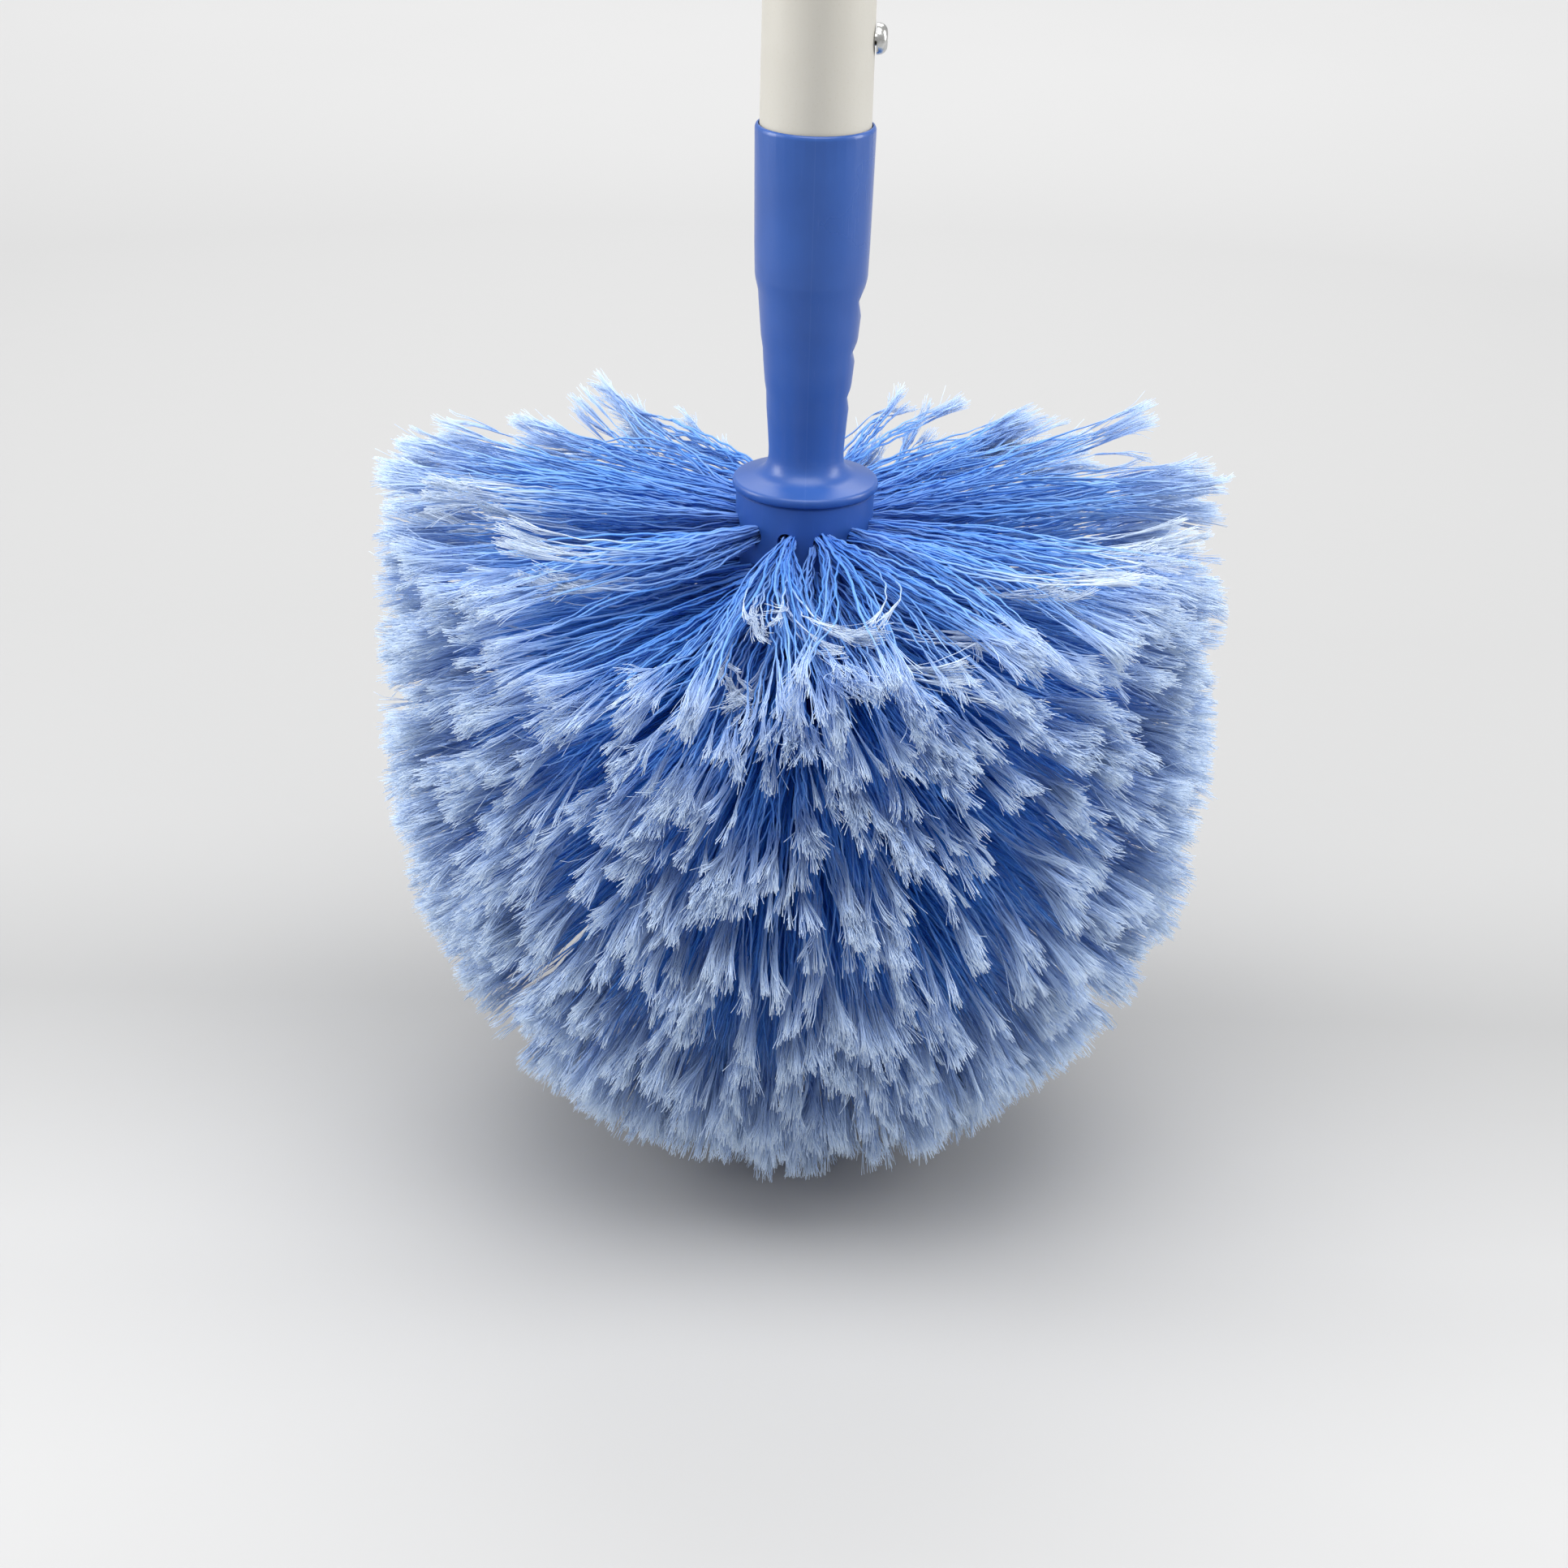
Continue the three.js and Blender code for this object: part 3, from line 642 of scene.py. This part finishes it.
        # each clump's number in a random order of its own tuft's clumps
        rank = np.argsort(np.argsort(np.arange(clumps) // in_tuft + rng.random(clumps) * 0.9)) % in_tuft
        picked = rank < STRAY_BUNCHES[self.index]
        in_front = self.outward[:, 1] < 0.1
        chosen = picked[clump] & (rng.random(self.count) < STRAY_SHARE) & in_front
        short = rng.uniform(*STRAY_LENGTH, clumps)[clump] * rng.uniform(0.95, 1.04, self.count)
        lift = rng.uniform(*STRAY_LIFT, clumps)[clump] * MM
        self.swing = (rng.uniform(0.35, 1.0, clumps) * rng.choice((-1, 1), clumps))[clump]
        curled = self.root + (self.tip - self.root) * short[:, None] + np.array([0, 0, 1]) * lift[:, None]
        curled = curled + self.sideways * self.swing[:, None] * STRAY_ASIDE
        self.tip = np.where(chosen[:, None], curled, self.tip)
        self.stray = chosen

    def bends(self, tuft, clump, tufts, clumps):
        """How each filament leaves its hole, bows on its way and is crimped."""
        rng = self.rng
        reach = self.length[:, None]
        aim = unit(self.tip - self.root)
        # how much it heads straight out of its hole, and how much it fans out there already
        straight, fanned = (0.7, 0.0) if self.index == 0 else (0.4, 0.4)
        leaving = self.outward * straight + aim * (1 - straight)
        self.start_pull = leaving * reach * 0.9 + self.fan * fanned
        curl = np.array([0, 0, 0.2]) + self.sideways * self.swing[:, None] * 0.7
        self.end_pull = aim * reach + curl * (self.stray[:, None] * reach)
        bow = rng.standard_normal((tufts, 3))[tuft] * TUFT_BOW
        bow = bow + rng.standard_normal((clumps, 3))[clump] * CLUMP_BOW
        bow = bow + rng.standard_normal((self.count, 3)) * STRAND_BOW
        self.bow = bow - aim * np.sum(bow * aim, 1, keepdims=True)
        self.sway = rng.standard_normal((self.count, 3)) * SWAY
        self.sway_phase = 2 * np.pi * rng.random(self.count)
        self.crimp_side = unit(np.cross(aim, rng.standard_normal((self.count, 3))))
        self.phase = 2 * np.pi * rng.random(self.count)
        self.wavelength = CRIMP_LENGTH * rng.uniform(0.85, 1.2, self.count)
        self.crimp = CRIMP_HEIGHT * rng.uniform(0.6, 1.3, self.count)
        self.strand = np.where(self.stray, 1.0, 0.95 * rng.random(self.count))

    def wave(self, share, wavelength, phase):
        """A sine wave along each filament, at shares of its length."""
        return np.sin(2 * np.pi * share * (self.length / wavelength)[:, None] + phase[:, None])

    def at(self, share):
        """Points at shares of the length, an array of one row for each filament."""
        t = share[:, :, None]
        line = (2 * t**3 - 3 * t**2 + 1) * self.root[:, None]
        line = line + (t**3 - 2 * t**2 + t) * self.start_pull[:, None]
        line = line + (3 * t**2 - 2 * t**3) * self.tip[:, None]
        line = line + (t**3 - t**2) * self.end_pull[:, None]
        line = line + np.sin(np.pi * t) * self.bow[:, None] + t**7 * self.flare[:, None]
        sway = self.wave(share, SWAY_LENGTH, self.sway_phase) * np.clip(share * 4, 0, 1)
        line = line + sway[:, :, None] * self.sway[:, None]
        swell = np.clip(share * 8, 0, 1) * self.crimp[:, None]
        crimp = self.wave(share, self.wavelength, self.phase) * swell
        return line + crimp[:, :, None] * self.crimp_side[:, None]


def tube_points(paths, radii, side):
    """Three-sided tubes round paths: points of shape (tubes, stations, 3 corners, xyz)."""
    ahead = unit(np.gradient(paths, axis=1))
    first = unit(np.cross(ahead, side[:, None]))
    second = np.cross(ahead, first)
    corners = 2 * np.pi * np.arange(3) / 3
    around = np.cos(corners)[:, None] * first[:, :, None] + np.sin(corners)[:, None] * second[:, :, None]
    return paths[:, :, None] + around * radii[:, :, None, None]


def tube_faces(tubes, stations):
    """Quads along each tube's sides and a triangle on each end, as corner indices."""
    base = np.arange(tubes)[:, None, None] * stations * 3
    along = np.arange(stations - 1)[None, :, None] * 3
    corner = np.arange(3)[None, None, :]
    here = base + along + corner
    beside = base + along + (corner + 1) % 3
    quads = np.stack([here, beside, beside + 3, here + 3], -1).reshape(-1, 4)
    ends = np.arange(tubes)[:, None] * stations * 3
    first = ends + np.array([[0, 2, 1]])
    last = ends + (stations - 1) * 3 + np.array([[0, 1, 2]])
    return quads, np.concatenate([first, last])


def shafts(lines, stations):
    """The solid part of each filament, which ends in a point inside its split end."""
    flag = FLAG_LENGTH * lines.rng.uniform(0.8, 1.2, lines.count) * np.where(lines.stray, 0.75, 1.0)
    flag = np.clip(flag / lines.length, 0.1, 0.6)
    end = 1 - flag * 0.72
    crowding = 1.0 if lines.index < 3 else 0.75  # below the top rings, more of the points are near the tip
    share = np.linspace(0, 1, stations)[None] ** crowding * end[:, None]
    radius = FILAMENT_R * lines.rng.uniform(0.85, 1.2, lines.count)[:, None]
    taper = np.interp(np.linspace(0, 1, stations), [0, 0.8, 1], [1, 1, 0.35])[None]
    points = tube_points(lines.at(share), radius * taper, lines.crimp_side)
    return points, share, np.repeat(lines.strand[:, None], stations, 1), flag


def split_ends(lines, flag, hairs):
    """The hairs that each filament splits into, which lie close at first and then open like a broom."""
    rng = lines.rng
    count = lines.count * hairs
    owner = np.repeat(np.arange(lines.count), hairs)
    start = 1 - flag[owner] * rng.uniform(0.6, 1.0, count)
    end = 1 - np.abs(clipped_normal(rng, count, 0.05)) * flag[owner]
    share = start[:, None] + (end - start)[:, None] * HAIR_STEPS[None]
    spine = np.stack([lines.at(share[k::hairs]) for k in range(hairs)], 1).reshape(count, len(HAIR_STEPS), 3)
    aim = unit(lines.tip - lines.root)
    wide = unit(np.cross(aim, rng.standard_normal((lines.count, 3))))
    opened = spine + broom(rng, owner, wide, np.cross(aim, wide))
    radius = HAIR_R * rng.uniform(0.7, 1.2, count)[:, None] * np.interp(HAIR_STEPS, [0, 1], [1.0, 0.75])[None]
    points = tube_points(opened, radius, wide[owner])
    strand = np.where(lines.stray[owner], 1.0, 0.5 * lines.strand[owner] + 0.475 * rng.random(count))
    return points, share, np.repeat(strand[:, None], len(HAIR_STEPS), 1), owner


def broom(rng, owner, wide, thin):
    """How far each hair stands off its filament's line at each step, in a flat and slightly untidy broom."""
    count = len(owner)
    width = FLAG_WIDTH * rng.uniform(0.6, 1.3, len(wide))[owner]
    loose = 1 + rng.uniform(0.5, 3, count) * (rng.random(count) < 0.08)
    across = clipped_normal(rng, count, 0.55) * width * loose
    deep = clipped_normal(rng, count, 0.33) * width * loose
    opening = (0.12 + 0.88 * HAIR_STEPS[None] ** 1.7) * (HAIR_STEPS[None] > 0)
    spread = (across[:, None] * opening)[:, :, None] * wide[owner][:, None]
    spread = spread + (deep[:, None] * opening)[:, :, None] * thin[owner][:, None]
    wiggle = rng.standard_normal((count, len(HAIR_STEPS), 3)) * 0.15 * MM * (0.3 + opening[:, :, None])
    return spread + wiggle


def mesh_of(name, tubes, strips):
    """One mesh of a set of tubes, with its attributes and texture layout."""
    points, share, strand, owner = tubes
    count, stations = points.shape[:2]
    quads, tris = tube_faces(count, stations)
    corners = np.concatenate([quads.ravel(), tris.ravel()]).astype(np.int32)
    starts = np.concatenate([np.arange(len(quads)) * 4, len(quads) * 4 + np.arange(len(tris)) * 3])
    mesh = bpy.data.meshes.new(name)
    mesh.vertices.add(count * stations * 3)
    mesh.vertices.foreach_set("co", points.ravel().astype(np.float32))
    mesh.loops.add(len(corners))
    mesh.loops.foreach_set("vertex_index", corners)
    mesh.polygons.add(len(starts))
    mesh.polygons.foreach_set("loop_start", starts.astype(np.int32))
    mesh.update(calc_edges=True)
    mesh.polygons.foreach_set("use_smooth", np.ones(len(starts), bool))
    along = np.repeat(share.ravel(), 3)
    for key, values in (("along", along), ("strand", np.repeat(strand.ravel(), 3))):
        mesh.attributes.new(key, "FLOAT", "POINT").data.foreach_set("value", values.astype(np.float32))
    lay_out(mesh, corners, len(quads), along, np.repeat(owner, stations * 3), strips)
    return mesh


def lay_out(mesh, corners, quads, along, owner, strips):
    """A texture layout in which each filament has an upright strip of its own, root at the foot."""
    side = np.tile(np.arange(3), len(along) // 3)
    place = side[corners].astype(float)
    quad_place = place[: quads * 4].reshape(-1, 4)
    wrap = quad_place[:, 1] < quad_place[:, 0]
    quad_place[wrap, 1:3] = 3
    u = (owner[corners] + 0.1 + 0.8 * place / 3) / strips
    v = 0.01 + 0.98 * along[corners]
    layer = mesh.uv_layers.new(name="OFBake")
    layer.data.foreach_set("uv", np.stack([u, v], 1).ravel().astype(np.float32))


def bristles():
    """Two pieces for each ring of tufts: the filaments' solid parts and their split ends."""
    fibre = bristle_fibre("bristle_fibre")
    for index, ring in enumerate(ring_list()):
        lines = Filaments(ring, index, np.random.default_rng(SEED + index))
        points, share, strand, flag = shafts(lines, SHAFT_STATIONS[index])
        sets = {
            f"bristles_{index + 1}": (points, share, strand, np.arange(lines.count)),
            f"split_ends_{index + 1}": split_ends(lines, flag, min(FLAG_HAIRS, HAIR_LIMIT // lines.count)),
        }
        for name, tubes in sets.items():
            mesh = mesh_of(name, tubes, lines.count)
            mesh.materials.append(fibre)
            placed(mesh, name, "bristle_fibre", "head", f"bristle_ring_{index + 1}")


# ---- stage ----


def floor_card():
    """Matt card with painted light and shade: paler towards the back and far away, so that it meets the
    background evenly, and darker in a painted shadow band just behind the brush.
    """
    look = Look("floor_card", Specular_IOR_Level=0.2)
    axes = look.node("ShaderNodeSeparateXYZ", {"Vector": look.place()}).outputs
    squares = [look.product(axes[key], axes[key]) for key in ("X", "Y")]
    far = look.maths("SQRT", look.maths("ADD", *squares))
    back = look.remap(axes["Y"], FLOOR_NEAR_Y, FLOOR_FAR_Y, 0.0, 1.0)
    # painted light and shade: the grey stops darken a band behind the brush and lighten the floor towards the
    # back
    card = look.ramp(back, [(place, (grey, grey, grey)) for place, grey in FLOOR_PAINTED_LIGHT_GREYS])
    # painted light: paler from 0.9 to 1.9 m out from the axis
    card = look.mixed(look.remap(far, 0.9, 1.9, 0.0, 1.0), card, (0.85, 0.85, 0.85))
    cloud = look.remap(look.noise(3, 2), 0.3, 0.7, 0.0, 0.04)
    look.feed("Base Color", look.mixed(cloud, card, (0.5, 0.5, 0.5)))
    look.feed("Roughness", look.remap(look.noise(40, 2), 0.3, 0.7, 0.75, 0.85))
    return look.material


def stage():
    """The floor, which the object stands on in its rest pose."""
    mesh = bpy.data.meshes.new("floor")
    made = bmesh.new()
    bmesh.ops.create_circle(made, cap_ends=True, segments=96, radius=6)
    made.to_mesh(mesh)
    made.free()
    mesh.materials.append(floor_card())
    floor = bpy.data.objects.new("floor", mesh)
    bpy.context.scene.collection.objects.link(floor)


def area_light(name, place, target, size, power, spread=180):
    """A soft box that faces its target. A narrow spread, in degrees, keeps it off the floor near it."""
    data = bpy.data.lights.new(name, "AREA")
    data.spread = math.radians(spread)
    data.shape = "RECTANGLE"
    data.size, data.size_y = size
    data.energy = power
    obj = bpy.data.objects.new(name, data)
    obj.location = place
    obj.rotation_euler = (Vector(target) - Vector(place)).to_track_quat("-Z", "Y").to_euler()
    bpy.context.scene.collection.objects.link(obj)


def lights():
    world = bpy.data.worlds.new("studio")
    world.use_nodes = True
    background = world.node_tree.nodes["Background"]
    background.inputs["Color"].default_value = (1, 1, 1, 1)
    background.inputs["Strength"].default_value = 0.52
    bpy.context.scene.world = world
    middle = (0, 0, 0.12)
    area_light("overhead", (0, -0.5, 1.5), middle, (1.5, 1.1), 20.5)
    area_light("back_top", (0, 0.9, 1.3), middle, (1.2, 0.8), 7)
    area_light("side_left", (-1.25, 0.05, 0.6), middle, (0.5, 1.0), 4.3, 100)
    area_light("side_right", (1.25, 0.05, 0.6), middle, (0.5, 1.0), 3.5, 100)
    area_light("far_floor", (0, 1.9, 1.6), (0, 1.7, 0), (2.4, 1.0), 10)


def camera():
    data = bpy.data.cameras.new("camera")
    data.sensor_width = 36
    data.lens = CAMERA_LENS
    data.clip_start = 0.05
    obj = bpy.data.objects.new("camera", data)
    level = Matrix.Rotation(math.pi / 2 - CAMERA_PITCH, 4, "X")
    obj.matrix_world = Matrix.Translation(CAMERA_PLACE) @ level @ Matrix.Rotation(CAMERA_ROLL, 4, "Z")
    bpy.context.scene.collection.objects.link(obj)
    bpy.context.scene.camera = obj


camera()
lights()
stage()
hard_pieces()
bristles()
bpy.context.scene.view_settings.view_transform = "Standard"
